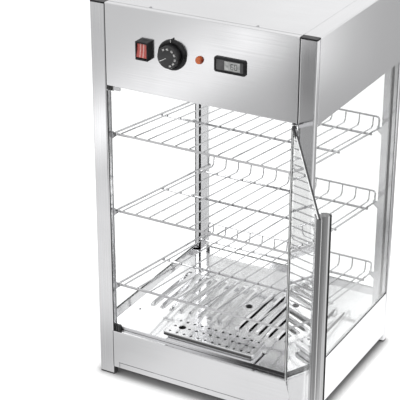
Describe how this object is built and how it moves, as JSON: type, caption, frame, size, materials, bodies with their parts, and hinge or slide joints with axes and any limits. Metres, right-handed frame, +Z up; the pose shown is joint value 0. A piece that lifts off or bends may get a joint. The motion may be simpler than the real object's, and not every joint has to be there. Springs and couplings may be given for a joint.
{
  "type": "heated display case",
  "caption": "Upright glazed warming cabinet on square posts, with sloping wire shelves, a louvred heated deck with a water tray, a hinged glass door and front controls.",
  "frame": {"origin": "centre of the base pan's underside, 20 mm above the floor that the four feet stand on", "axes": "+Z up, the front with the controls and the door faces -Y, +X to the right as seen from the front"},
  "size_m": [0.6564, 0.7743, 0.823],
  "materials": {
    "brushed_steel": "brushed",
    "bright_steel": "bright",
    "chromed_wire": "polished",
    "dark_aluminium": "satin",
    "clear_glass": "clear",
    "black_plastic": "satin",
    "red_button": "gloss",
    "orange_lens": "gloss",
    "grey_plastic": "satin",
    "heater_steel": "heat darkened",
    "ceramic": "matte"
  },
  "bodies": {
    "case": {"base_pan": "brushed_steel", "catch_plate_top": "brushed_steel", "ceiling": "bright_steel", "control_panel": "brushed_steel", "cord_gland": "black_plastic", "deck": "bright_steel", "deck_screw": "black_plastic", "dial_ring": "black_plastic", "element_bracket_left": "brushed_steel", "element_bracket_right": "brushed_steel", "foot_front_left": "black_plastic", "foot_front_right": "black_plastic", "foot_rear_left": "black_plastic", "foot_rear_right": "black_plastic", "front_base_panel": "brushed_steel", "heating_element": "heater_steel", "hinge_plate_bottom": "black_plastic", "hinge_plate_top": "black_plastic", "hook_strip_front_left": "brushed_steel", "hook_strip_front_right": "brushed_steel", "hook_strip_rear_left": "brushed_steel", "hook_strip_rear_right": "brushed_steel", "magnet_catch_bottom": "black_plastic", "magnet_catch_top": "black_plastic", "pilot_lamp": "orange_lens", "post_cap_front_left": "black_plastic", "post_cap_front_right": "black_plastic", "post_cap_rear_left": "black_plastic", "post_cap_rear_right": "black_plastic", "post_front_left": "brushed_steel", "post_front_right": "brushed_steel", "post_rear_left": "brushed_steel", "post_rear_right": "brushed_steel", "rear_base": "brushed_steel", "rear_glass": "clear_glass", "rear_head": "brushed_steel", "rocker_housing": "black_plastic", "shelf_1": "chromed_wire", "shelf_2": "chromed_wire", "shelf_3": "chromed_wire", "side_base_left": "brushed_steel", "side_base_right": "brushed_steel", "side_glass_left": "clear_glass", "side_glass_right": "clear_glass", "side_head_left": "brushed_steel", "side_head_right": "brushed_steel", "terminal_block": "ceramic", "thermometer_display": "grey_plastic", "thermometer_housing": "black_plastic", "thermostat_body": "grey_plastic", "thermostat_shaft": "grey_plastic", "top_cover": "brushed_steel", "water_pan": "bright_steel"},
    "door": {"door_glass": "clear_glass", "door_handle": "dark_aluminium", "door_clamp_top": "black_plastic", "door_clamp_bottom": "bright_steel"},
    "knob": {"thermostat_knob": "black_plastic"},
    "rocker": {"rocker_button": "red_button"},
    "lid": {"tray_lid": "bright_steel"}
  },
  "joints": [
    {"name": "door_hinge", "type": "hinge", "parent": "case", "child": "door", "pos_m": [0.2, -0.2108, 0.36], "axis": [0, 0, 1], "range_deg": [-121.8, 8.2]},
    {"name": "thermostat_turn", "type": "hinge", "parent": "case", "child": "knob", "pos_m": [-0.057, -0.22, 0.7235], "axis": [0, -1, 0], "range_deg": [-116, 158]},
    {"name": "rocker_tilt", "type": "hinge", "parent": "case", "child": "rocker", "pos_m": [-0.1175, -0.215, 0.7235], "axis": [1, 0, 0], "range_deg": [0, 16]},
    {"name": "lid_lift", "type": "slide", "parent": "case", "child": "lid", "axis": [0, 0, 1], "range_m": [0, 0.05]}
  ]
}
